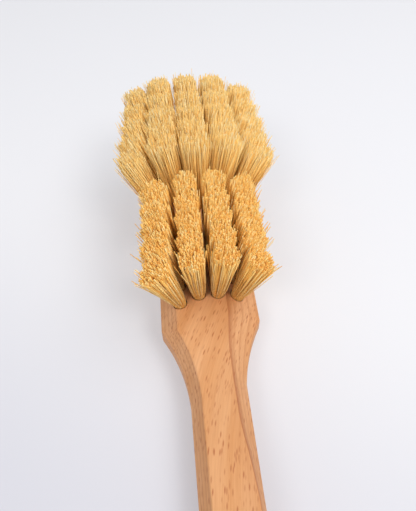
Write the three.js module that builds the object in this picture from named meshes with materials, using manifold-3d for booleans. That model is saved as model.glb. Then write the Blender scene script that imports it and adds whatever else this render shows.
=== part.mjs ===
// Long-handled scrub brush: a one-piece beech head and handle, with fibre tufts in two fields.
// Millimetres. +Y runs from the handle to the front of the head, +X is right and +Z is up.
// The brush lies on its flat back at z = 0, bristles up. The first row of tufts is at y = 0.
import * as THREE from 'three';
import { mergeVertices } from 'three/addons/utils/BufferGeometryUtils.js';
import Module from 'manifold-3d';

const wasm = await Module();
wasm.setup();

// Tuft holes and their spacing
const tuftDiameter = 7;
const columnWeb = 2.4;
const rearRowWeb = 2.9;
const frontRowWeb = 3.3;
const fieldGap = 21.8;
const leftColumnSetback = 4;
const holeDepth = 10;
const holeSides = 8;
// The holes lean half as far as the bristles that flare out of them
const holeLeanShare = 0.5;

// Wooden body
const boardThickness = 25.5;
const sideWall = 1.7;
const frontWall = 5.8;
const headCornerRadius = 9;
const rightShoulder = 12;
const leftShoulder = 16;
const neckLength = 40;
const neckBend = 17;
const neckDraw = 1.8;
const handleWidth = 25.4;
const handleLength = 236;
const bevelInset = 5;
const bevelHeight = 8.5;
const outlineSteps = 8;

// Flats along the top of the head: a steep one on the left and a wide shallow one on the right
const leftFlatWidth = 8;
const leftFlatAngle = 46;
const rightFlatWidth = 15.7;
const rightFlatAngle = 32;

// Bristles: sheaves of fibre, one in the middle of each tuft and a ring around it
const ringStrands = 8;
const strandSides = 3;
const strandInset = 0.25;
const strandGap = 0.37;
const strandTipRadius = 1.35;
const strandRooting = 1.2;
const columnTipGap = 1.8;
const rowTipGap = 0.8;
const sliceDepth = 2.5;

// Flat wire anchors
const anchorThickness = 0.5;
const anchorHeight = 2.2;
const anchorBite = 0.6;

// Clearance between pieces that touch
const fitGap = 0.3;

// The two fields of tufts. A pair of values runs from the first row to the last row
const columnPitch = tuftDiameter + columnWeb;
const rearField = {
  name: 'rear',
  columns: 4,
  rows: 5,
  firstRow: 0,
  rowPitch: tuftDiameter + rearRowWeb,
  sideLean: [12.3, 12.3],
  rowLean: [-10, -0.7],
  bristle: [37.7, 37.7],
};
const frontField = {
  name: 'front',
  columns: 5,
  rows: 5,
  firstRow: lastRow(rearField) + fieldGap,
  rowPitch: tuftDiameter + frontRowWeb,
  sideLean: [23.6, 15.3],
  rowLean: [10, 19.5],
  bristle: [39.4, 46.7],
};

// Sizes that follow from those above
const tuftRadius = tuftDiameter / 2;
const headWidth = (frontField.columns - 1) * columnPitch + tuftDiameter + 2 * sideWall;
const headFront = lastRow(frontField) + tuftRadius + frontWall;
const handleEnd = -leftShoulder - neckLength - handleLength;
const leftFlatStart = leftFlatWidth - headWidth / 2;
const rightFlatStart = headWidth / 2 - rightFlatWidth;
const leftFlatSlope = Math.tan(THREE.MathUtils.degToRad(leftFlatAngle));
const rightFlatSlope = Math.tan(THREE.MathUtils.degToRad(rightFlatAngle));
const anchorLength = tuftDiameter + 2 * anchorBite;
const anchorTop = fitGap + anchorHeight;
// A strand is as thick at its root as a ring of them leaves room for in the hole
const ringStep = 2 * Math.sin(Math.PI / ringStrands);
const strandSide = 2 * Math.sin(Math.PI / strandSides);
const strandRootRadius = ((tuftRadius - strandInset) * ringStep - strandGap) / (strandSide + ringStep);
const strandRing = tuftRadius - strandInset - strandRootRadius;
// Cutters reach this far past what they cut
const overshoot = 20;

const beech = { color: 0xdca273, roughness: 0.6, metalness: 0 };
const fibre = { color: 0xe2b46c, roughness: 0.85, metalness: 0 };
const wire = { color: 0x9b9da0, roughness: 0.4, metalness: 0.9 };

const brush = new THREE.Group();

// A closed geometry as a solid that can be joined and cut
function solidFrom(geometry) {
  const bare = geometry.clone();
  bare.deleteAttribute('normal');
  bare.deleteAttribute('uv');
  const merged = mergeVertices(bare);
  const vertProperties = new Float32Array(merged.attributes.position.array);
  const triVerts = new Uint32Array(merged.index.array);
  return new wasm.Manifold(new wasm.Mesh({ numProp: 3, vertProperties, triVerts }));
}

function geometryFrom(solid) {
  const mesh = solid.getMesh();
  const geometry = new THREE.BufferGeometry();
  geometry.setAttribute('position', new THREE.BufferAttribute(mesh.vertProperties, mesh.numProp));
  geometry.setIndex(new THREE.BufferAttribute(mesh.triVerts, 1));
  geometry.computeVertexNormals();
  return geometry;
}

function joined(solids) {
  return solids.reduce((whole, solid) => whole.add(solid));
}

function lastRow(field) {
  return field.firstRow + (field.rows - 1) * field.rowPitch;
}

function addPiece(name, geometry, look) {
  const mesh = new THREE.Mesh(geometry, new THREE.MeshStandardMaterial(look));
  mesh.name = name;
  brush.add(mesh);
  return mesh;
}

// Plan of the body: square-ended head, shoulders drawn in along a curved neck, round-ended handle
function bodyOutline() {
  const half = headWidth / 2;
  const grip = handleWidth / 2;
  const corner = headCornerRadius;
  const outline = new THREE.Shape();
  outline.moveTo(half, -rightShoulder);
  outline.lineTo(half, headFront - corner);
  outline.absarc(half - corner, headFront - corner, corner, 0, Math.PI / 2);
  outline.lineTo(corner - half, headFront);
  outline.absarc(corner - half, headFront - corner, corner, Math.PI / 2, Math.PI);
  outline.lineTo(-half, -leftShoulder);
  outline.quadraticCurveTo(-grip - neckDraw, -leftShoulder - neckBend, -grip, -leftShoulder - neckLength);
  outline.lineTo(-grip, handleEnd + grip);
  outline.absarc(0, handleEnd + grip, grip, Math.PI, 2 * Math.PI);
  outline.lineTo(grip, -rightShoulder - neckLength);
  outline.quadraticCurveTo(grip + neckDraw, -rightShoulder - neckBend, half, -rightShoulder);
  return outline;
}

// Height of the head's top face
function topHeight(x) {
  const leftDrop = Math.max(0, leftFlatStart - x) * leftFlatSlope;
  const rightDrop = Math.max(0, x - rightFlatStart) * rightFlatSlope;
  return boardThickness - leftDrop - rightDrop;
}

// Everything below the head's top face, lowered by a depth
function belowTop(depth) {
  const reach = headWidth / 2 + overshoot;
  const section = new THREE.Shape();
  section.moveTo(-reach, -overshoot - boardThickness);
  section.lineTo(reach, -overshoot - boardThickness);
  section.lineTo(reach, topHeight(reach) - depth);
  section.lineTo(rightFlatStart, boardThickness - depth);
  section.lineTo(leftFlatStart, boardThickness - depth);
  section.lineTo(-reach, topHeight(-reach) - depth);
  const length = headFront - handleEnd + 2 * overshoot;
  const bar = new THREE.ExtrudeGeometry(section, { depth: length, bevelEnabled: false });
  bar.rotateX(Math.PI / 2);
  bar.translate(0, headFront + overshoot, 0);
  return solidFrom(bar);
}

// The shaped board before it is drilled
function bodyBlank() {
  const board = new THREE.ExtrudeGeometry(bodyOutline(), {
    depth: boardThickness - 2 * bevelHeight,
    bevelEnabled: true,
    bevelThickness: bevelHeight,
    bevelSize: bevelInset,
    bevelOffset: -bevelInset,
    bevelSegments: 1,
    curveSegments: outlineSteps,
  });
  board.translate(0, 0, bevelHeight);
  return solidFrom(board).intersect(belowTop(0));
}

function between(range, step, steps) {
  return range[0] + (range[1] - range[0]) * (step / (steps - 1));
}

function leaning(sideDegrees, frontDegrees) {
  const side = THREE.MathUtils.degToRad(sideDegrees);
  const front = THREE.MathUtils.degToRad(frontDegrees);
  return new THREE.Vector3(
    Math.sin(side),
    Math.cos(side) * Math.sin(front),
    Math.cos(side) * Math.cos(front),
  );
}

// Axes of a tuft: along the bristles, across the columns and along the rows
function axesAlong(direction) {
  const across = new THREE.Vector3(1, 0, 0).addScaledVector(direction, -direction.x).normalize();
  const forward = new THREE.Vector3().crossVectors(direction, across);
  return { along: direction, across, forward };
}

function tuftAt(field, row, column) {
  const offset = column - (field.columns - 1) / 2;
  const lean = between(field.sideLean, row, field.rows) * (offset / ((field.columns - 1) / 2));
  const front = between(field.rowLean, row, field.rows);
  const setback = column === 0 ? leftColumnSetback : 0;
  const x = offset * columnPitch;
  const y = field.firstRow + row * field.rowPitch - setback;
  const root = new THREE.Vector3(x, y, topHeight(x));
  const bristle = axesAlong(leaning(lean, front));
  const hole = axesAlong(leaning(lean * holeLeanShare, front * holeLeanShare));
  const tip = root.clone().addScaledVector(bristle.along, between(field.bristle, row, field.rows));
  return { row, column, root, bristle, hole, tip };
}

function tuftsOf(field) {
  const tufts = [];
  for (let row = 0; row < field.rows; row += 1) {
    for (let column = 0; column < field.columns; column += 1) {
      tufts.push(tuftAt(field, row, column));
    }
  }
  return tufts;
}

// A closed prism along +Z with regular sides, wider or narrower at its far end
function prism(sides, nearRadius, farRadius, length) {
  const corners = [];
  for (let i = 0; i < sides; i += 1) {
    const angle = (2 * Math.PI * i) / sides;
    corners.push(new THREE.Vector2(Math.cos(angle) * nearRadius, Math.sin(angle) * nearRadius));
  }
  const section = new THREE.Shape(corners);
  const geometry = new THREE.ExtrudeGeometry(section, { depth: length, bevelEnabled: false });
  const position = geometry.attributes.position;
  for (let i = 0; i < position.count; i += 1) {
    const widening = position.getZ(i) > length / 2 ? farRadius / nearRadius : 1;
    position.setXY(i, position.getX(i) * widening, position.getY(i) * widening);
  }
  return geometry;
}

// The frame of a tuft's hole, at a height above the hole's floor
function holeFrame(tuft, height) {
  const { along, across, forward } = tuft.hole;
  const frame = new THREE.Matrix4().makeBasis(across, forward, along);
  frame.setPosition(tuft.root.clone().addScaledVector(along, height - holeDepth));
  return frame;
}

function holeSolid(tuft, radius, from, to) {
  return solidFrom(prism(holeSides, radius, radius, to - from).applyMatrix4(holeFrame(tuft, from)));
}

// Room for the wire anchor across the hole
function anchorRoom(tuft, from) {
  const to = anchorTop + fitGap;
  const room = new THREE.BoxGeometry(anchorThickness + 2 * fitGap, anchorLength + 2 * fitGap, to - from);
  return solidFrom(room.applyMatrix4(holeFrame(tuft, (from + to) / 2)));
}

// A drilled hole, with the grooves that the wire anchor presses into its walls
function holeCutter(tuft) {
  return holeSolid(tuft, tuftRadius, 0, holeDepth + overshoot).add(anchorRoom(tuft, fitGap / 2));
}

// The folded root of a tuft, astride its anchor
function tuftRoot(tuft) {
  const root = holeSolid(tuft, tuftRadius - fitGap, fitGap, holeDepth + overshoot);
  return root.subtract(anchorRoom(tuft, -fitGap));
}

// A sheaf of fibres from the head's face to its tip, thicker at the tip
function strand(root, tip) {
  const run = new THREE.Vector3().subVectors(tip, root);
  const geometry = prism(strandSides, strandRootRadius, strandTipRadius, run.length());
  const { along, across, forward } = axesAlong(run.normalize());
  const frame = new THREE.Matrix4().makeBasis(across, forward, along);
  return solidFrom(geometry.applyMatrix4(frame.setPosition(root)));
}

function strandAt(tuft, across, forward, tipAcross, tipForward) {
  const root = tuft.root.clone();
  root.addScaledVector(tuft.hole.across, across).addScaledVector(tuft.hole.forward, forward);
  root.z = topHeight(root.x) - strandRooting;
  const tip = tuft.tip.clone();
  tip.addScaledVector(tuft.bristle.across, tipAcross).addScaledVector(tuft.bristle.forward, tipForward);
  return strand(root, tip);
}

// Half the room that a tuft's tip has among its neighbours, across the columns and along the rows
function tipRoom(field, row) {
  const column = Math.ceil((field.columns - 1) / 2);
  const middle = tuftAt(field, row, column).tip;
  const beside = tuftAt(field, row, column + 1).tip;
  const otherRow = row + 1 < field.rows ? row + 1 : row - 1;
  const ahead = tuftAt(field, otherRow, column).tip;
  return {
    across: (middle.distanceTo(beside) - columnTipGap) / 2 - strandTipRadius,
    forward: (middle.distanceTo(ahead) - rowTipGap) / 2 - strandTipRadius,
  };
}

function tuftStrands(field, tuft) {
  const room = tipRoom(field, tuft.row);
  const strands = [strandAt(tuft, 0, 0, 0, 0)];
  for (let i = 0; i < ringStrands; i += 1) {
    const angle = (2 * Math.PI * i) / ringStrands;
    const across = Math.cos(angle);
    const forward = Math.sin(angle);
    strands.push(strandAt(
      tuft,
      across * strandRing,
      forward * strandRing,
      across * room.across,
      forward * room.forward,
    ));
  }
  return strands;
}

// The top of the head over one field, down to a depth below its face
function topOver(field, depth, clearance) {
  const margin = tuftRadius + columnWeb / 2 + clearance;
  const back = field.firstRow - leftColumnSetback - margin;
  const front = lastRow(field) + margin;
  const box = new THREE.BoxGeometry(headWidth + 2 * overshoot, front - back, 2 * boardThickness);
  box.translate(0, (back + front) / 2, boardThickness);
  return solidFrom(box).subtract(belowTop(depth + clearance));
}

const blank = bodyBlank();
let body = blank;

for (const field of [rearField, frontField]) {
  const tufts = tuftsOf(field);
  const slice = blank.intersect(topOver(field, sliceDepth, 0));
  const roots = joined(tufts.map(tuftRoot)).intersect(belowTop(sliceDepth / 2));
  const strands = joined(tufts.flatMap((tuft) => tuftStrands(field, tuft)));
  addPiece(`${field.name}_bristles`, geometryFrom(slice.add(roots).add(strands)), fibre);
  body = body.subtract(topOver(field, sliceDepth, fitGap)).subtract(joined(tufts.map(holeCutter)));

  for (const tuft of tufts) {
    const name = `${field.name}_anchor_r${tuft.row + 1}_c${tuft.column + 1}`;
    const anchor = addPiece(name, new THREE.BoxGeometry(anchorThickness, anchorLength, anchorHeight), wire);
    const frame = holeFrame(tuft, fitGap + anchorHeight / 2);
    anchor.position.setFromMatrixPosition(frame);
    anchor.quaternion.setFromRotationMatrix(frame);
  }
}

addPiece('beech_body', geometryFrom(body), beech);

export default brush;
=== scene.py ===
# %% [markdown]
# # A long-handled scrub brush
# One bar of beech makes both head and handle, and 45 tufts of pale plant fibre stand in holes drilled in
# the head. Each tuft is folded over a short flat wire at the bottom of its hole. The brush lies on its flat
# back, bristles up. Everything is in metres: +Y runs from the handle to the front of the head, +X is right
# and +Z is up. Sizes are written in millimetres and multiplied by mm where they are used.

# %% Load the measured frame
import math
import random

import bmesh
import bpy
from mathutils import Matrix, Vector


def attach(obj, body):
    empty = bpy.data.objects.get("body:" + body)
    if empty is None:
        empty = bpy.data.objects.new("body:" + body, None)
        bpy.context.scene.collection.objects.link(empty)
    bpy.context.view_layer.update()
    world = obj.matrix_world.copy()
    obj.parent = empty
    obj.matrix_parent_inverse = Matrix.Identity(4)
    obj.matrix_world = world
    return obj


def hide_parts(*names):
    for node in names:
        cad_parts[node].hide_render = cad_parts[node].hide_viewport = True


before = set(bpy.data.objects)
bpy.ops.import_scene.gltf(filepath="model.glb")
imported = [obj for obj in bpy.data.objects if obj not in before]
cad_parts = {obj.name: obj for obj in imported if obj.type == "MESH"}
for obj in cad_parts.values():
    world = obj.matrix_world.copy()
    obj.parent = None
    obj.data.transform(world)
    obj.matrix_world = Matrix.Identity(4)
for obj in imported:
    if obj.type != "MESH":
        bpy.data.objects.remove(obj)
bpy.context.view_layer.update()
mm = 0.001

# %% [markdown]
# ## The camera
# The picture was taken from the handle's side, about 52 degrees down and from close by. A camera aimed with
# Track To would follow one point. Here the three angles are known, so the view axes are built from them.
# The picture's middle lies a little above the lens axis, which a small vertical shift gives.

# %% Camera
photo_height = 511
focal_pixels = 469.2
pixels_above_axis = 10.2
eye = Vector((-9.9, -130.0, 212.7)) * mm
yaw, pitch, roll = (math.radians(a) for a in (4.41, 51.72, -1.39))

lens = bpy.data.cameras.new("camera")
lens.sensor_width = 36
lens.lens = focal_pixels * lens.sensor_width / photo_height
lens.shift_y = pixels_above_axis / photo_height
lens.clip_start = 0.01
camera = bpy.data.objects.new("camera", lens)
camera.matrix_world = (
    Matrix.Translation(eye)
    @ Matrix.Rotation(-yaw, 4, "Z")
    @ Matrix.Rotation(math.pi / 2 - pitch, 4, "X")
    @ Matrix.Rotation(roll, 4, "Z")
)
bpy.context.scene.collection.objects.link(camera)
bpy.context.scene.camera = camera
print("lens", round(lens.lens, 2), "mm")

# %% [markdown]
# ## Colours, nodes and objects
# Colours are written as they look on a screen, in sRGB hex, and one function turns them into the linear
# values that light is worked out with. A second function adds any node, with its settings, its values and
# the sockets that feed it. The last one makes an object at the origin from a finished shape.


# %% Helpers
def linear(code):
    shares = [int(code[i:i + 2], 16) / 255 for i in (1, 3, 5)]
    return tuple(s / 12.92 if s <= 0.04045 else ((s + 0.055) / 1.055) ** 2.4 for s in shares) + (1.0,)


def node(tree, kind, inputs=None, stops=None, **settings):
    made = tree.nodes.new("ShaderNode" + kind)
    for name, value in settings.items():
        setattr(made, name, value)
    for name, value in (inputs or {}).items():
        if isinstance(value, bpy.types.NodeSocket):
            tree.links.new(value, made.inputs[name])
        else:
            made.inputs[name].default_value = value
    for i, (place, code) in enumerate(stops or ()):
        steps = made.color_ramp.elements
        step = steps[i] if i < 2 else steps.new(place)
        step.position, step.color = place, linear(code)
    return made


def new_material(name):
    material = bpy.data.materials.new(name)
    material.use_nodes = True
    return material, material.node_tree, material.node_tree.nodes["Principled BSDF"]


def to_object(name, shape):
    mesh = bpy.data.meshes.new(name)
    shape.to_mesh(mesh)
    shape.free()
    made = bpy.data.objects.new(name, mesh)
    bpy.context.scene.collection.objects.link(made)
    return made


print("mid grey", [round(c, 3) for c in linear("#808080")])

# %% [markdown]
# ## Beech
# Steamed beech, planed and sanded, is pinkish tan. Its top face shows the rays end on, as short dark dashes
# 2 to 3 mm long, and the growth rings lie nearly flat in the board, so they show as lines on the sloping
# faces and the sides. All of it is a solid pattern in Object coordinates, as in the wood itself, so
# that every face shows its own cut. The grain runs along the handle and swings to the right in the head.

# %% Beech: the grain's own directions
# The board is 25.5 mm thick. Its grain slants by 0.13 along the handle, and by 0.36 more in the head
board = 25.5
handle_slant, head_slant = 0.13, 0.36
swing_start, swing_ease = -45 * mm, 50 * mm
beech, tree, shader = new_material("beech_sanded")
place = node(tree, "TexCoord").outputs["Object"]
axes = node(tree, "SeparateXYZ", {0: place}).outputs
ahead = node(tree, "Math", {0: axes["Y"], 1: -swing_start}, operation="ADD").outputs[0]
swing = node(tree, "Math", {0: ahead, 1: 0.0, 2: swing_ease}, operation="SMOOTH_MAX").outputs[0]
slanted = node(tree, "Math", {0: axes["Y"], 1: -handle_slant, 2: axes["X"]},
               operation="MULTIPLY_ADD").outputs[0]
swung = node(tree, "Math", {0: swing, 1: -head_slant, 2: slanted}, operation="MULTIPLY_ADD").outputs[0]
grain = node(tree, "CombineXYZ", {"X": swung, "Y": axes["Y"], "Z": axes["Z"]}).outputs[0]


def stretched(across, along, upright):
    scale = (1 / (across * mm), 1 / (along * mm), 1 / (upright * mm))
    return node(tree, "VectorMath", {0: grain, 1: scale}, operation="MULTIPLY").outputs[0]


# Broad change of tone, every 9 mm across the board and 90 mm along it, and fine fibre lines
tone = node(tree, "TexNoise", {"Vector": stretched(9, 90, 9), "Scale": 1.0, "Detail": 3.0}).outputs[0]
lines = node(tree, "TexNoise", {"Vector": stretched(0.7, 16, 0.7), "Scale": 1.0, "Detail": 2.0}).outputs[0]
print("beech grain:", len(tree.nodes), "nodes")

# %% Beech: rays and rings
# A ray is drawn about 0.6 mm wide and 2.5 mm long, a little wider than in real beech, so that it shows
rays = node(tree, "TexVoronoi", {"Vector": stretched(1.15, 4.8, 1.7), "Scale": 1.0})
ray_core = node(tree, "MapRange", {0: rays.outputs["Distance"], 1: 0.4, 2: 0.12, 3: 0.0, 4: 1.0},
                interpolation_type="SMOOTHSTEP").outputs[0]
ray_chance = node(tree, "SeparateColor", {0: rays.outputs["Color"]}).outputs["Red"]
ray_depth = node(tree, "MapRange", {0: ray_chance, 1: 0.0, 2: 1.0, 3: 0.35, 4: 1.0}).outputs[0]
ray = node(tree, "Math", {0: ray_core, 1: ray_depth}, operation="MULTIPLY").outputs[0]

# Rings lie 2.1 mm apart. The Wave node turns 20 radians over one unit of length
ring_distance = 2.1 * mm
ring_place = node(tree, "Mapping", {"Vector": place, "Location": (0, 0, 0.9 * mm), "Rotation": (0, -0.06, 0),
                                    "Scale": (1, 0.05, 1)}).outputs[0]
rings = node(tree, "TexWave", {"Vector": ring_place, "Scale": 2 * math.pi / 20 / ring_distance,
                               "Distortion": 1.2, "Detail": 2.0, "Detail Scale": 0.35},
             wave_type="BANDS", bands_direction="Z", wave_profile="SAW").outputs[1]
late_wood = node(tree, "MapRange", {0: rings, 1: 0.55, 2: 1.0, 3: 0.0, 4: 1.0},
                 interpolation_type="SMOOTHSTEP").outputs[0]
print("beech rays and rings:", len(tree.nodes), "nodes")

# %% Beech: one dark ring, with painted edge shade
# A ring line comes out along the right slope, and a painted shade of the edge lies over it. Both are darkest
# at the edge of the top face and fade below it, over 1.9 mm of depth at the head and 2.8 mm on the handle.
# They grow faint towards the handle's end
below = node(tree, "Math", {0: board * mm, 1: axes["Z"]}, operation="SUBTRACT").outputs[0]
edge_band_depth = node(tree, "MapRange", {0: axes["Y"], 1: -30 * mm, 2: -60 * mm,
                                     3: 1.9 * mm, 4: 2.8 * mm}).outputs[0]
in_edge_band = node(tree, "Math", {0: below, 1: edge_band_depth}, operation="DIVIDE").outputs[0]
fading = node(tree, "MapRange", {0: in_edge_band, 1: 0.1, 2: 1.0, 3: 1.0, 4: 0.0}).outputs[0]
under_edge = node(tree, "MapRange", {0: below, 1: 0.02 * mm, 2: 0.15 * mm, 3: 0.0, 4: 1.0}).outputs[0]
right_only = node(tree, "MapRange", {0: axes["X"], 1: 3 * mm, 2: 5 * mm, 3: 0.0, 4: 1.0}).outputs[0]
ring_and_shade = node(tree, "MapRange", {0: axes["Y"], 1: -110 * mm, 2: -80 * mm, 3: 0.38, 4: 0.8}).outputs[0]
for part in (fading, under_edge, right_only):
    ring_and_shade = node(tree, "Math", {0: ring_and_shade, 1: part}, operation="MULTIPLY").outputs[0]
print("beech dark ring:", len(tree.nodes), "nodes")

# %% Beech: colour, sheen and surface
# The eye gets a warm tan with darker dashes, and a faint silky sheen along the fibre lines
ground = node(tree, "ValToRGB", {0: tone}, stops=[(0.3, "#d2945d"), (0.7, "#e0a978")]).outputs[0]
streak = node(tree, "ValToRGB", {0: lines}, stops=[(0.3, "#e2d2c4"), (0.65, "#ffffff")]).outputs[0]
streaked = node(tree, "Mix", {0: 0.42, 6: ground, 7: streak},
                data_type="RGBA", blend_type="MULTIPLY").outputs[2]
ring_share = node(tree, "Math", {0: late_wood, 1: 0.55}, operation="MULTIPLY").outputs[0]
ringed = node(tree, "Mix", {0: ring_share, 6: streaked, 7: linear("#bd7d4c")}, data_type="RGBA").outputs[2]
# The ring and the painted edge shade are laid on as one brown
lined = node(tree, "Mix", {0: ring_and_shade, 6: ringed, 7: linear("#a8663a")}, data_type="RGBA").outputs[2]
ray_share = node(tree, "Math", {0: ray, 1: 0.95}, operation="MULTIPLY").outputs[0]
rayed = node(tree, "Mix", {0: ray_share, 6: lined, 7: linear("#ae693d")}, data_type="RGBA").outputs[2]
tree.links.new(rayed, shader.inputs["Base Color"])
rough = node(tree, "MapRange", {0: lines, 1: 0.2, 2: 0.8, 3: 0.62, 4: 0.46}).outputs[0]
tree.links.new(rough, shader.inputs["Roughness"])
bump = node(tree, "Bump", {"Strength": 0.25, "Distance": 0.08 * mm, "Height": lines})
tree.links.new(bump.outputs[0], shader.inputs["Normal"])
shader.inputs["IOR"].default_value = 1.5
shader.inputs["Specular IOR Level"].default_value = 0.35
print("beech:", len(tree.nodes), "nodes")

# %% [markdown]
# ## The beech bar
# Seen end on, the bar is an octagon all the way: top, bottom, two sides and four long slopes. On the handle
# the slopes are alike, but the top right one narrows halfway. On the head the left one is steeper and the
# right one is wide and shallow. The bar could be cut out of a block with planes, but the thin slivers at the
# neck would spoil the rounding of the edges. So a grid is rolled into a tube, with one ring of eight corners
# for each place along the bar.

# %% Sizes of the bar
head_half, head_front, front_corner = 24.0, 111.9, 9.0
grip_half, bar_end, neck_end = 12.7, -292.0, -54
# A slope reaches 5 mm in from the side and drops 8.5 mm. The head's top slopes have their own drop and edge
slope_in, slope_drop = 5.0, 8.5
head_drops = 8.3, 9.8
left_top, right_top = -16.0, 8.3
# Each side of the neck is a curve from the shoulder to the handle, drawn towards a point between them
left_neck = Vector((-head_half, -14.0)), Vector((-13.3, -32.6)), Vector((-grip_half, -53))
right_neck = Vector((head_half, -11.8)), Vector((15.6, -26.2)), Vector((grip_half, -44.5))
# The right edge of the top face as y and x, from the handle's end to the head
right_line = [(-240, 7.7), (-180, 8.5), (-130, 9.7), (-100, 10.2), (-92, 10.0), (-83, 9.3), (-75, 8.5),
              (-69, 7.6), (-62, 6.9), (neck_end, 6.5), (-29, 6.6), (-21, 7.3), (-11.5, right_top)]
arc_steps, neck_steps = 12, 16


def along_curve(a, b, c, share):
    return a.lerp(b, share).lerp(b.lerp(c, share), share)


def on_right_line(y):
    spans = zip(right_line, right_line[1:])
    (y0, x0), (y1, x1) = next((a, b) for a, b in spans if y <= b[0])
    return Vector((x0 + (x1 - x0) * (y - y0) / (y1 - y0), y))


def left_inner(share):
    run = along_curve(*left_neck, share + 0.01) - along_curve(*left_neck, share - 0.01)
    return along_curve(*left_neck, share) + Vector((-run.y, run.x)).normalized() * slope_in


def drops_at(share):
    return [slope_drop + (drop - slope_drop) * share for drop in head_drops]


print("bar", head_front - bar_end, "mm long and", 2 * head_half, "mm wide")

# %% Rings along the bar
# Each ring has a left and a right value for its sides, for the edges of the bottom and top faces, and for
# the drops of the top slopes
rings_of_bar = []
inset = Vector((slope_in, 0))
end_middle = Vector((0, bar_end + grip_half))
for step in range(arc_steps + 1):
    turn = math.radians(90 - 90 / arc_steps * step)
    ways = Vector((-math.cos(turn), -math.sin(turn))), Vector((math.cos(turn), -math.sin(turn)))
    sides = [end_middle + way * grip_half for way in ways]
    inner = [end_middle + way * (grip_half - slope_in) for way in ways]
    rings_of_bar.append((sides, inner, inner, drops_at(0)))

for y in [y for y, x in right_line if y < neck_end]:
    left, right = Vector((-grip_half, y)), Vector((grip_half, y))
    tops = left + inset, on_right_line(y)
    rings_of_bar.append(((left, right), (left + inset, right - inset), tops, drops_at(0)))

# The left slope of the neck meets the head's left slope in a crease
crease = next(i / 100 for i in range(100) if left_inner(i / 100).x > left_top)
for step in range(neck_steps + 1):
    share = 1 - step / neck_steps
    left, right = along_curve(*left_neck, share), along_curve(*right_neck, share)
    tops = left_inner(crease + (1 - crease) * share), on_right_line(right.y)
    rings_of_bar.append(((left, right), (left + inset, right - inset), tops, drops_at((1 - share) ** 2)))

# The first rings of the head slant, because the left shoulder lies further back than the right one
corner = Vector((head_half - front_corner, head_front - front_corner))
for left_y, right_y in ((-12, -9), (-4.5, -2), (45, 45), (corner.y, corner.y)):
    left, right = Vector((-head_half, left_y)), Vector((head_half, right_y))
    tops = Vector((left_top, left_y)), Vector((right_top, right_y))
    rings_of_bar.append(((left, right), (left + inset, right - inset), tops, drops_at(1)))

# Around the front corners the rings share the two corners of the top face
front_tops = Vector((left_top, head_front - slope_in)), Vector((right_top, head_front - slope_in))
for step in range(1, arc_steps + 1):
    turn = math.radians(90 / arc_steps * step)
    way = Vector((math.cos(turn), math.sin(turn)))
    out, low = corner + way * front_corner, corner + way * (front_corner - slope_in)
    sides, lows = ([Vector((-p.x, p.y)), p] for p in (out, low))
    rings_of_bar.append((sides, lows, front_tops, drops_at(1 - step / arc_steps)))
print("rings", len(rings_of_bar))


# %% Roll the grid into the bar
def ring_corners(sides, lows, tops, drops):
    corners = [(lows[0], 0), (lows[1], 0), (sides[1], slope_drop), (sides[1], board - drops[1]),
               (tops[1], board), (tops[0], board), (sides[0], board - drops[0]), (sides[0], slope_drop)]
    return [Vector((p.x, p.y, z)) * mm for p, z in corners]


ring_size, same_point = 8, 0.01 * mm
bar = bmesh.new()
sheet = bmesh.ops.create_grid(bar, x_segments=ring_size, y_segments=len(rings_of_bar) - 1, size=1)["verts"]
for i, ring in enumerate(rings_of_bar):
    corners = ring_corners(*ring)
    for k in range(ring_size + 1):
        sheet[i * (ring_size + 1) + k].co = corners[k % ring_size]
bmesh.ops.remove_doubles(bar, verts=bar.verts, dist=same_point)
open_edges = [e for e in bar.edges if e.is_boundary]
bmesh.ops.contextual_create(bar, geom=open_edges)
# The front face is split where its lower slope ends and where its upper slope begins
front_places = ring_corners(*rings_of_bar[-1])
front_ring = [min(bar.verts, key=lambda v, p=p: (v.co - p).length) for p in front_places]
bmesh.ops.connect_verts(bar, verts=[front_ring[7], front_ring[2]])
bmesh.ops.connect_verts(bar, verts=[front_ring[6], front_ring[3]])
bmesh.ops.dissolve_degenerate(bar, edges=bar.edges, dist=0.001 * mm)
bmesh.ops.recalc_face_normals(bar, faces=bar.faces)
print("bar", len(bar.faces), "faces, closed", all(e.is_manifold for e in bar.edges))


# %% Round its long edges
def lies_across_a_flat(edge):
    level = any(all(abs(v.co.z - z * mm) < same_point for v in edge.verts) for z in (0, board))
    return level and edge.calc_face_angle(1) < 0.001


# The top and bottom become one face each, so that no ring across them holds the rounding back
across_flats = [e for e in bar.edges if lies_across_a_flat(e)]
bmesh.ops.dissolve_edges(bar, edges=across_flats, use_verts=False, use_face_split=False)
# Sanding takes 0.5 mm off each side of an edge, which is a radius of about 1 mm at the top face
sanded, hard_angle = 0.5 * mm, math.radians(19)
hard = [e for e in bar.edges if e.calc_face_angle(0) > hard_angle]
bmesh.ops.bevel(bar, geom=hard, offset=sanded, offset_type="OFFSET", affect="EDGES", segments=3, profile=0.5,
                material=-1, clamp_overlap=True)
bmesh.ops.recalc_face_normals(bar, faces=bar.faces)
print("rounded", len(hard), "edges, now", len(bar.faces), "faces")


# %% [markdown]
# ## Where the tufts stand
# The rear field has four columns of five tufts and the front field five columns of five. Tufts lean out to
# the sides, and the front field also leans forward. The holes lean half as far, because the fibres bend as
# they leave the wood. Roots and holes are the measured frame's own, in millimetres and degrees. The fibres
# of some rows lean a little differently and are a little shorter, as the picture shows them.

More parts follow.
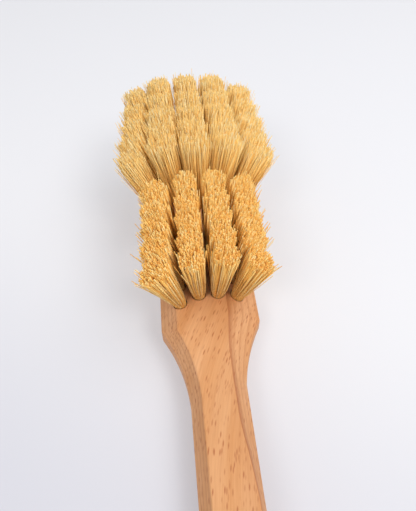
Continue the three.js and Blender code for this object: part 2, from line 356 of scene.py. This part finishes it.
# %% Tuft places
# Pairs are for the first and the last row. The outer columns lean by side, and all tufts forward by lean.
# The fibres differ from that by draw_in to the middle, by swing to the right, and in the left column by
# left_lean forward. They are bristle long, and their cut is uneven by ragged.
# A tuft fills the share spread of its room towards the next column and merge towards the next row, and it
# swells halfway up by belly. On an outer column's open side, left or right, it fills open_spread instead,
# and in the first row it hangs back there by droop.
# Fibre ends scatter by loose, and a share of the fibres are stray or brown. The pair for radius is at root
# and tip. The tones pale at the tip and root_pale are ranges between 0 for golden and 1 for cream.
tuft_radius, hole_depth, pitch_across, left_setback = 3.5, 10.0, 9.4, 4.0
left_slope, right_slope = math.radians(46), math.radians(32)
fields = {
    "rear": dict(
        columns=4, rows=5, first=0.0, pitch=9.9,
        side=(12.3, 12.3), lean=(-10, -0.7), draw_in=(0, 1.4), swing=(0, 0), left_lean=(0, 0),
        bristle=(37.7, 37.7), ragged=(1.2, 1.2),
        spread=(0.68, 0.75), merge=1.12, belly=0.3, open_spread=(0.98, 0.72), droop=3.5,
        fibres=600, radius=(0.17, 0.37), loose=0.45, stray=0.04,
        brown=0.0005, pale=(0.0, 0.85), root_pale=(0.35, 1.0)),
    "front": dict(
        columns=5, rows=5, first=61.4, pitch=10.3,
        side=(23.6, 15.3), lean=(10, 19.5), draw_in=(0, 0), swing=(0, -1.9), left_lean=(0, 3),
        bristle=(39.4, 45.6), ragged=(2.0, 1.2),
        spread=(0.85, 0.76), merge=1.3, belly=0.6, open_spread=(0.5, 0.74), droop=0.0,
        fibres=1350, radius=(0.13, 0.26), loose=0.75, stray=0.06,
        brown=0.0015, pale=(0.4, 1.0), root_pale=(0.0, 0.25)),
}


def top_height(x):
    left_drop = max(0, left_top - x) * math.tan(left_slope)
    right_drop = max(0, x - right_top) * math.tan(right_slope)
    return board - left_drop - right_drop


def axes_along(side, forward):
    side, forward = math.radians(side), math.radians(forward)
    along = Vector((math.sin(side), math.cos(side) * math.sin(forward), math.cos(side) * math.cos(forward)))
    across = (Vector((1, 0, 0)) - along * along.x).normalized()
    return across, along.cross(across), along


def tuft_at(field, row, column):
    share = row / (field["rows"] - 1)
    offset = column - (field["columns"] - 1) / 2
    side, draw_in, swing, left_lean, lean, length, ragged, spread = (
        field[kind][0] + (field[kind][1] - field[kind][0]) * share
        for kind in ("side", "draw_in", "swing", "left_lean", "lean", "bristle", "ragged", "spread"))
    outer = offset / ((field["columns"] - 1) / 2)
    x = offset * pitch_across
    y = field["first"] + row * field["pitch"] - (left_setback if column == 0 else 0)
    root = Vector((x, y, top_height(x)))
    if column == 0:
        fan = axes_along((side - draw_in) * outer, lean + left_lean)
    else:
        fan = axes_along((side - draw_in) * outer + swing, lean)
    hole = axes_along(side * outer / 2, lean / 2)
    return dict(root=root, fan=fan, hole=hole, tip=root + fan[2] * length, ragged=ragged, spread=spread)


def tip_room(field, row):
    column = math.ceil((field["columns"] - 1) / 2)
    other = row + 1 if row + 1 < field["rows"] else row - 1
    middle = tuft_at(field, row, column)["tip"]
    beside, ahead = tuft_at(field, row, column + 1)["tip"], tuft_at(field, other, column)["tip"]
    return (middle - beside).length / 2, (middle - ahead).length / 2


places = [(name, row, column) for name, field in fields.items()
          for row in range(field["rows"]) for column in range(field["columns"])]
print("tufts", len(places))

# %% [markdown]
# ## Drilling the holes
# The holes are blind, 7 mm wide and 10 mm deep. One mesh of 45 drills is taken away from the bar with a
# Boolean modifier, which is then applied, so that no hidden drill stays in the scene.

# %% Drill
drill_above_wood = 8.0
drills = bmesh.new()
for name, row, column in places:
    tuft = tuft_at(fields[name], row, column)
    across, forward, along = tuft["hole"]
    reach = hole_depth + drill_above_wood
    middle = (tuft["root"] + along * (reach / 2 - hole_depth)) * mm
    turn = Matrix((across, forward, along)).transposed().to_4x4()
    bmesh.ops.create_cone(drills, cap_ends=True, segments=24, radius1=tuft_radius * mm,
                          radius2=tuft_radius * mm, depth=reach * mm,
                          matrix=Matrix.Translation(middle) @ turn)

body = to_object("beech_bar", bar)
drill_set = to_object("drills", drills)
cut = body.modifiers.new("holes", "BOOLEAN")
cut.operation, cut.solver, cut.object = "DIFFERENCE", "MANIFOLD", drill_set
drilled = bpy.data.meshes.new_from_object(body.evaluated_get(bpy.context.evaluated_depsgraph_get()))
body.modifiers.clear()
body.data = drilled
bpy.data.objects.remove(drill_set)
print("drilled bar", len(drilled.polygons), "faces")

# %% Finish the bar
drilled.materials.clear()
drilled.materials.append(beech)
drilled.shade_smooth()
drilled.set_sharp_from_angle(angle=math.radians(40))
weigh = body.modifiers.new("even_normals", "WEIGHTED_NORMAL")
weigh.keep_sharp = True
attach(body, "root")
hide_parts("beech_body")
print("bar box", [round(c / mm, 1) for c in body.dimensions])

# %% [markdown]
# ## Plant fibre
# The bristles are tampico, a stiff fibre combed out of agave leaves. It is straw yellow, with a dull
# gloss, and no two fibres are quite alike: some are pale, some golden, a few have a brown end. Each fibre
# carries its tone and its height on a UV map, and the colour is read from that map alone, so that thousands
# of fibres can share one small patch of colour.

# %% Tampico fibre
# The eye gets straw from golden to cream, with darker bands along the sides, pale cut ends and a faint
# painted shade towards the root
fibre_map = "OFBake"
fibre, tree, shader = new_material("tampico_fibre")
spot = node(tree, "UVMap", uv_map=fibre_map).outputs[0]
spot_axes = node(tree, "SeparateXYZ", {0: spot}).outputs
fibre_tone = node(tree, "ValToRGB", {0: spot_axes["X"]}, stops=[
    (0.0, "#eaac54"), (1.0, "#ffedbc"), (0.3, "#ffca6e"), (0.7, "#ffdd92")]).outputs[0]
# A faint painted shade: fibres are a touch darker and warmer towards the root, deep in the tuft
by_height = node(tree, "ValToRGB", {0: spot_axes["Y"]}, stops=[
    (0.0, "#fff4e6"), (1.0, "#ffffff"), (0.3, "#fffdfa"), (0.9, "#fffdfa")]).outputs[0]
shaded = node(tree, "Mix", {0: 1.0, 6: fibre_tone, 7: by_height},
              data_type="RGBA", blend_type="MULTIPLY").outputs[2]
# Some fibres are darker along their sides, with a change every few millimetres, but hardly at their cut ends
band_place = node(tree, "VectorMath", {0: spot, 1: (240, 5, 1)}, operation="MULTIPLY").outputs[0]
bands = node(tree, "TexNoise", {"Vector": band_place, "Scale": 1.0, "Detail": 1.0}).outputs[0]
band_tint = node(tree, "ValToRGB", {0: bands}, stops=[(0.32, "#c8a982"), (0.6, "#ffffff")]).outputs[0]
band_share = node(tree, "MapRange", {0: spot_axes["Y"], 1: 0.3, 2: 0.75, 3: 0.8, 4: 0.2}).outputs[0]
banded = node(tree, "Mix", {0: band_share, 6: shaded, 7: band_tint},
              data_type="RGBA", blend_type="MULTIPLY").outputs[2]
# The few fibres at the far end of the tone scale have brown ends
brown_fibre = node(tree, "MapRange", {0: spot_axes["X"], 1: 0.96, 2: 0.97, 3: 0.0, 4: 1.0}).outputs[0]
brown_end = node(tree, "MapRange", {0: spot_axes["Y"], 1: 0.82, 2: 0.9, 3: 0.0, 4: 0.9}).outputs[0]
brown_share = node(tree, "Math", {0: brown_fibre, 1: brown_end}, operation="MULTIPLY").outputs[0]
browned = node(tree, "Mix", {0: brown_share, 6: banded, 7: linear("#7a4c22")}, data_type="RGBA").outputs[2]
tree.links.new(browned, shader.inputs["Base Color"])
shader.inputs["Roughness"].default_value = 0.6
shader.inputs["Specular IOR Level"].default_value = 0.05
print("tampico:", len(tree.nodes), "nodes")

# %% [markdown]
# ## One tuft
# Hair particles would be quick, but they leave no solid fibre in the exported model. So each fibre is a thin
# three-sided stick. It stands for several real fibres and is thickest at its cut end, so that it shows. A
# tuft starts as a straight sheaf of sticks, which is cut into short lengths all at once, and then every
# point is moved: up to the wood's face it stays in the hole, and above it the sheaf fans out to the room
# that the tuft has among its neighbours.

# %% One fibre
# Stations along a fibre: -1 is its lower end, 7.2 mm down the hole, 0 the wood's face and 1 the cut end
sunk = 7.2
stations = [-1.0, 0.0, 0.3, 0.64, 1.0]
# Roots fill the hole evenly when each is turned by the golden angle from the last
golden_turn = 2.39996
root_reach = tuft_radius - 0.5
# A stray end lies up to 4.5 mm aside and 2.5 mm higher, on half the thickness, mostly on the open side
stray_reach, stray_length, stray_size, stray_outward = 4.5, 2.5, 0.5, 3
# Other fibres differ in thickness and bow, and are cut shorter at both sides of the tuft
sizes, own_bow, side_trim = (0.75, 1.2), 0.35, 1.5
# Tones end at 0.96, and 1 marks a fibre with a brown end
palest, brown = 0.96, 1.0
# A fibre follows its hole a little as it leaves the wood, and bends a third of the way up
hole_pull, bend_height = 0.2, 0.34
chance = random.Random(45)


def fibre_at(i, field, tuft):
    reach, angle = math.sqrt((i + 0.5) / field["fibres"]), i * golden_turn
    a, b = reach * math.cos(angle), reach * math.sin(angle)
    outward = max(0, a * tuft["open_side"])
    wild = chance.random() < field["stray"] * (1 + stray_outward * outward)
    if wild:
        off_a, off_b = (chance.uniform(-stray_reach, stray_reach) for _ in range(2))
    else:
        off_a, off_b = (chance.gauss(0, field["loose"]) for _ in range(2))
    across = field["open_spread"][a > 0] if outward else tuft["spread"]
    tip = (a * tuft["room"][0] * across + off_a,
           b * tuft["room"][1] * field["merge"] - outward * tuft["droop"] + off_b)
    bow = (field["belly"] * a + chance.gauss(0, own_bow), field["belly"] * b + chance.gauss(0, own_bow))
    trim = chance.gauss(0, tuft["ragged"]) - side_trim * a ** 4
    if wild:
        trim += chance.uniform(0, stray_length)
    turn = chance.uniform(0, 2 * math.pi)
    size = stray_size if wild else chance.uniform(*sizes)
    rank = chance.random()
    tones = [(low + (high - low) * rank) * palest for low, high in (field["root_pale"], field["pale"])]
    if chance.random() < field["brown"]:
        tones = brown, brown
    return dict(root=(a * root_reach, b * root_reach), tip=tip, bow=bow, trim=trim,
                turn=turn, size=size, tones=tones)


def fibre_path(tuft, one, share):
    across, forward, along = tuft["hole"]
    root = tuft["root"] + across * one["root"][0] + forward * one["root"][1]
    root.z = top_height(root.x)
    if share <= 0:
        return root + along * (share * sunk)
    fan_across, fan_forward, fan_along = tuft["fan"]
    tip = tuft["tip"] + fan_across * one["tip"][0] + fan_forward * one["tip"][1] + fan_along * one["trim"]
    run = tip - root
    bend = root + (along * hole_pull + run.normalized() * (1 - hole_pull)) * (run.length * bend_height)
    point = along_curve(root, bend, tip, share)
    swell = 4 * share * (1 - share)
    return point + fan_across * (one["bow"][0] * swell) + fan_forward * (one["bow"][1] * swell)


print("stations", stations)

# %% Fan out a sheaf
# On the map, the sides reach up to 0.94 and the cut end lies above. The corners of a fibre are set a little
# apart, so that each face has an area there
tone_room, corner_gap, side_top, end_gap = 0.98, 0.004, 0.94, 0.01


def flare(sheaf, tuft, fibres, number, share_of):
    fibre_uv = sheaf.loops.layers.uv.new(fibre_map)
    fan_across, fan_forward, _ = tuft["fan"]
    corner_tone = {}
    for v in sheaf.verts:
        one = fibres[round(v[number])]
        share = stations[round(v[share_of])]
        off = Vector((v.co.x - one["root"][0], v.co.y - one["root"][1]))
        height = max(share, 0)
        root_tone, tip_tone = one["tones"]
        tone = root_tone + (tip_tone - root_tone) * height ** 2
        corner_turn = math.atan2(off.y, off.x) / math.pi + 1
        corner_tone[v] = (tone * tone_room + corner_gap * corner_turn, height * side_top)
        v.co = (fibre_path(tuft, one, share) + fan_across * off.x + fan_forward * off.y) * mm
    for face in sheaf.faces:
        for corner in face.loops:
            corner[fibre_uv].uv = corner_tone[corner.vert]
        if len(face.loops) == 3:
            end_height = 1.0 if face.loops[0][fibre_uv].uv.y > 0.5 else end_gap
            for corner, drop in zip(face.loops, (end_gap, 0, 0)):
                corner[fibre_uv].uv.y = end_height - drop


def make_tuft(name, field, tuft):
    sheaf = bmesh.new()
    number = sheaf.verts.layers.float.new("number")
    share_of = sheaf.verts.layers.float.new("share")
    fibres = [fibre_at(i, field, tuft) for i in range(field["fibres"])]
    root_radius, tip_radius = field["radius"]
    spans = len(stations) - 1
    for i, one in enumerate(fibres):
        middle = Matrix.Translation((one["root"][0], one["root"][1], spans / 2))
        stick = bmesh.ops.create_cone(
            sheaf, cap_ends=True, segments=3, radius1=root_radius * one["size"],
            radius2=tip_radius * one["size"], depth=spans,
            matrix=middle @ Matrix.Rotation(one["turn"], 4, "Z"))["verts"]
        for v in stick:
            v[number], v[share_of] = i, v.co.z
    lengths = [e for e in sheaf.edges if abs(e.verts[0].co.z - e.verts[1].co.z) > 1]
    bmesh.ops.subdivide_edges(sheaf, edges=lengths, cuts=spans - 1)
    flare(sheaf, tuft, fibres, number, share_of)
    made = to_object(name, sheaf)
    made.data.shade_smooth()
    return made


print("one tuft of", [field["fibres"] for field in fields.values()], "fibres")

# %% Set all the tufts
tufts = []
for name, row, column in places:
    field = fields[name]
    plan = tuft_at(field, row, column)
    plan["room"] = tip_room(field, row)
    plan["open_side"] = (column == field["columns"] - 1) - (column == 0)
    plan["droop"] = field["droop"] if row == 0 else 0
    tuft = make_tuft(f"{name}_tuft_r{row + 1}_c{column + 1}", field, plan)
    tuft.data.materials.append(fibre)
    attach(tuft, "root")
    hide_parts(f"{name}_bristles")
    tufts.append(tuft)
print("tufts", len(tufts), "with", sum(len(t.data.polygons) for t in tufts), "faces")

# %% [markdown]
# ## Wire anchors
# Each tuft is held by a short piece of flat drawn steel wire across the bottom of its hole. Their shapes are
# right in the frame already, so they only get their finish: grey steel with fine lines along the draw.

# %% Drawn steel wire
# The eye gets a grey metal with a streaky, half dull shine. Draw lines are 0.15 mm apart and 6 mm long
wire, tree, shader = new_material("drawn_steel_wire")
place = node(tree, "TexCoord").outputs["Object"]
line_apart, line_long = 0.15 * mm, 6 * mm
drawn = node(tree, "VectorMath", {0: place, 1: (1 / line_apart, 1 / line_long, 1 / line_apart)},
             operation="MULTIPLY").outputs[0]
scratch = node(tree, "TexNoise", {"Vector": drawn, "Scale": 1.0, "Detail": 2.0}).outputs[0]
steel = node(tree, "ValToRGB", {0: scratch}, stops=[(0.3, "#85878a"), (0.7, "#b1b3b5")]).outputs[0]
tree.links.new(steel, shader.inputs["Base Color"])
shader.inputs["Metallic"].default_value = 1.0
shine = node(tree, "MapRange", {0: scratch, 1: 0.3, 2: 0.7, 3: 0.28, 4: 0.45}).outputs[0]
tree.links.new(shine, shader.inputs["Roughness"])
anchors = [o for n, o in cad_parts.items() if "_anchor_" in n]
for anchor in anchors:
    anchor.data.materials.clear()
    anchor.data.materials.append(wire)
print("anchors", len(anchors))

# %% [markdown]
# ## Floor and light
# The brush lies on a plain white sheet, in soft light from above and from both sides of the handle. Three
# large lamps and a pale sky are set so that a colour renders about as it is written.

# %% Floor
# The eye gets a dull white sheet. A painted shade makes it a little greyer towards the near left corner,
# where the light falls off
sky_tone, floor_half = "#f4f5fa", 3
paper, tree, shader = new_material("white_paper")
place = node(tree, "TexCoord").outputs["Object"]
away = node(tree, "VectorMath", {0: place, 1: (-0.45, -0.9, 0)}, operation="DOT_PRODUCT").outputs["Value"]
falloff_shade = node(tree, "MapRange", {0: away, 1: -80 * mm, 2: 190 * mm, 3: 0.0, 4: 1.0},
                    interpolation_type="SMOOTHERSTEP").outputs[0]
sheet_tone = node(tree, "ValToRGB", {0: falloff_shade}, stops=[(0.0, "#ececef"), (1.0, "#d4d4dc")]).outputs[0]
tree.links.new(sheet_tone, shader.inputs["Base Color"])
shader.inputs["Roughness"].default_value = 0.9
shader.inputs["Specular IOR Level"].default_value = 0.1


def seen_share(tree):
    # 1 for what is looked at, also in a gloss or through glass, and 0 for what only sends light
    path = node(tree, "LightPath").outputs
    share = path["Is Camera Ray"]
    for kind in ("Is Glossy Ray", "Is Transmission Ray"):
        share = node(tree, "Math", {0: share, 1: path[kind]}, operation="ADD", use_clamp=True).outputs[0]
    return share


# When looked at, two fifths of the sheet's white are its own, which keeps the shadows faint. Far from the
# brush, from 0.35 m to 1.1 m, it turns as white as the sky behind it
own_near = 0.4
distance = node(tree, "VectorMath", {0: place}, operation="LENGTH").outputs["Value"]
far_share = node(tree, "MapRange", {0: distance, 1: 0.35, 2: 1.1, 3: 0.0, 4: 1.0},
                 interpolation_type="SMOOTHSTEP").outputs[0]
own_part = node(tree, "Math", {0: far_share, 1: 1 - own_near, 2: own_near},
                operation="MULTIPLY_ADD").outputs[0]
own_share = node(tree, "Math", {0: seen_share(tree), 1: own_part}, operation="MULTIPLY").outputs[0]
own_tone = node(tree, "Mix", {0: far_share, 6: sheet_tone, 7: linear(sky_tone)}, data_type="RGBA").outputs[2]
own_white = node(tree, "Emission", {"Color": own_tone, "Strength": 1.0}).outputs[0]
sheet_look = node(tree, "MixShader", {0: own_share, 1: shader.outputs[0], 2: own_white}).outputs[0]
tree.links.new(sheet_look, tree.nodes["Material Output"].inputs["Surface"])
ground_shape = bmesh.new()
bmesh.ops.create_grid(ground_shape, x_segments=1, y_segments=1, size=floor_half)
floor = to_object("floor", ground_shape)
floor.data.materials.append(paper)
floor.location.z = -0.05 * mm
print("floor", 2 * floor_half, "m wide")


# %% Lamps and sky
def soft_lamp(name, position, size, watts):
    data = bpy.data.lights.new(name, "AREA")
    data.shape, data.size, data.energy = "DISK", size, watts
    lamp = bpy.data.objects.new(name, data)
    aim = Vector((0, 20 * mm, 20 * mm)) - position
    lamp.matrix_world = Matrix.Translation(position) @ aim.to_track_quat("-Z", "Y").to_matrix().to_4x4()
    bpy.context.scene.collection.objects.link(lamp)


soft_lamp("key", Vector((0.4, 0.0, 0.9)), 0.8, 3.4)
soft_lamp("front_right", Vector((0.75, -0.9, 1.4)), 0.7, 10.2)
soft_lamp("front_left", Vector((-0.75, -0.9, 1.4)), 0.7, 8.0)

# The sky lights the brush with a strength of 0.52, and looks white itself
sky_light = 0.52
sky = bpy.data.worlds.new("sky")
sky.use_nodes = True
tree = sky.node_tree
tree.nodes["Background"].inputs["Color"].default_value = linear(sky_tone)
sky_strength = node(tree, "Math", {0: seen_share(tree), 1: 1 - sky_light, 2: sky_light},
                    operation="MULTIPLY_ADD").outputs[0]
tree.links.new(sky_strength, tree.nodes["Background"].inputs["Strength"])
bpy.context.scene.world = sky
bpy.context.scene.view_settings.view_transform = "Standard"
print("lamps", len(bpy.data.lights))
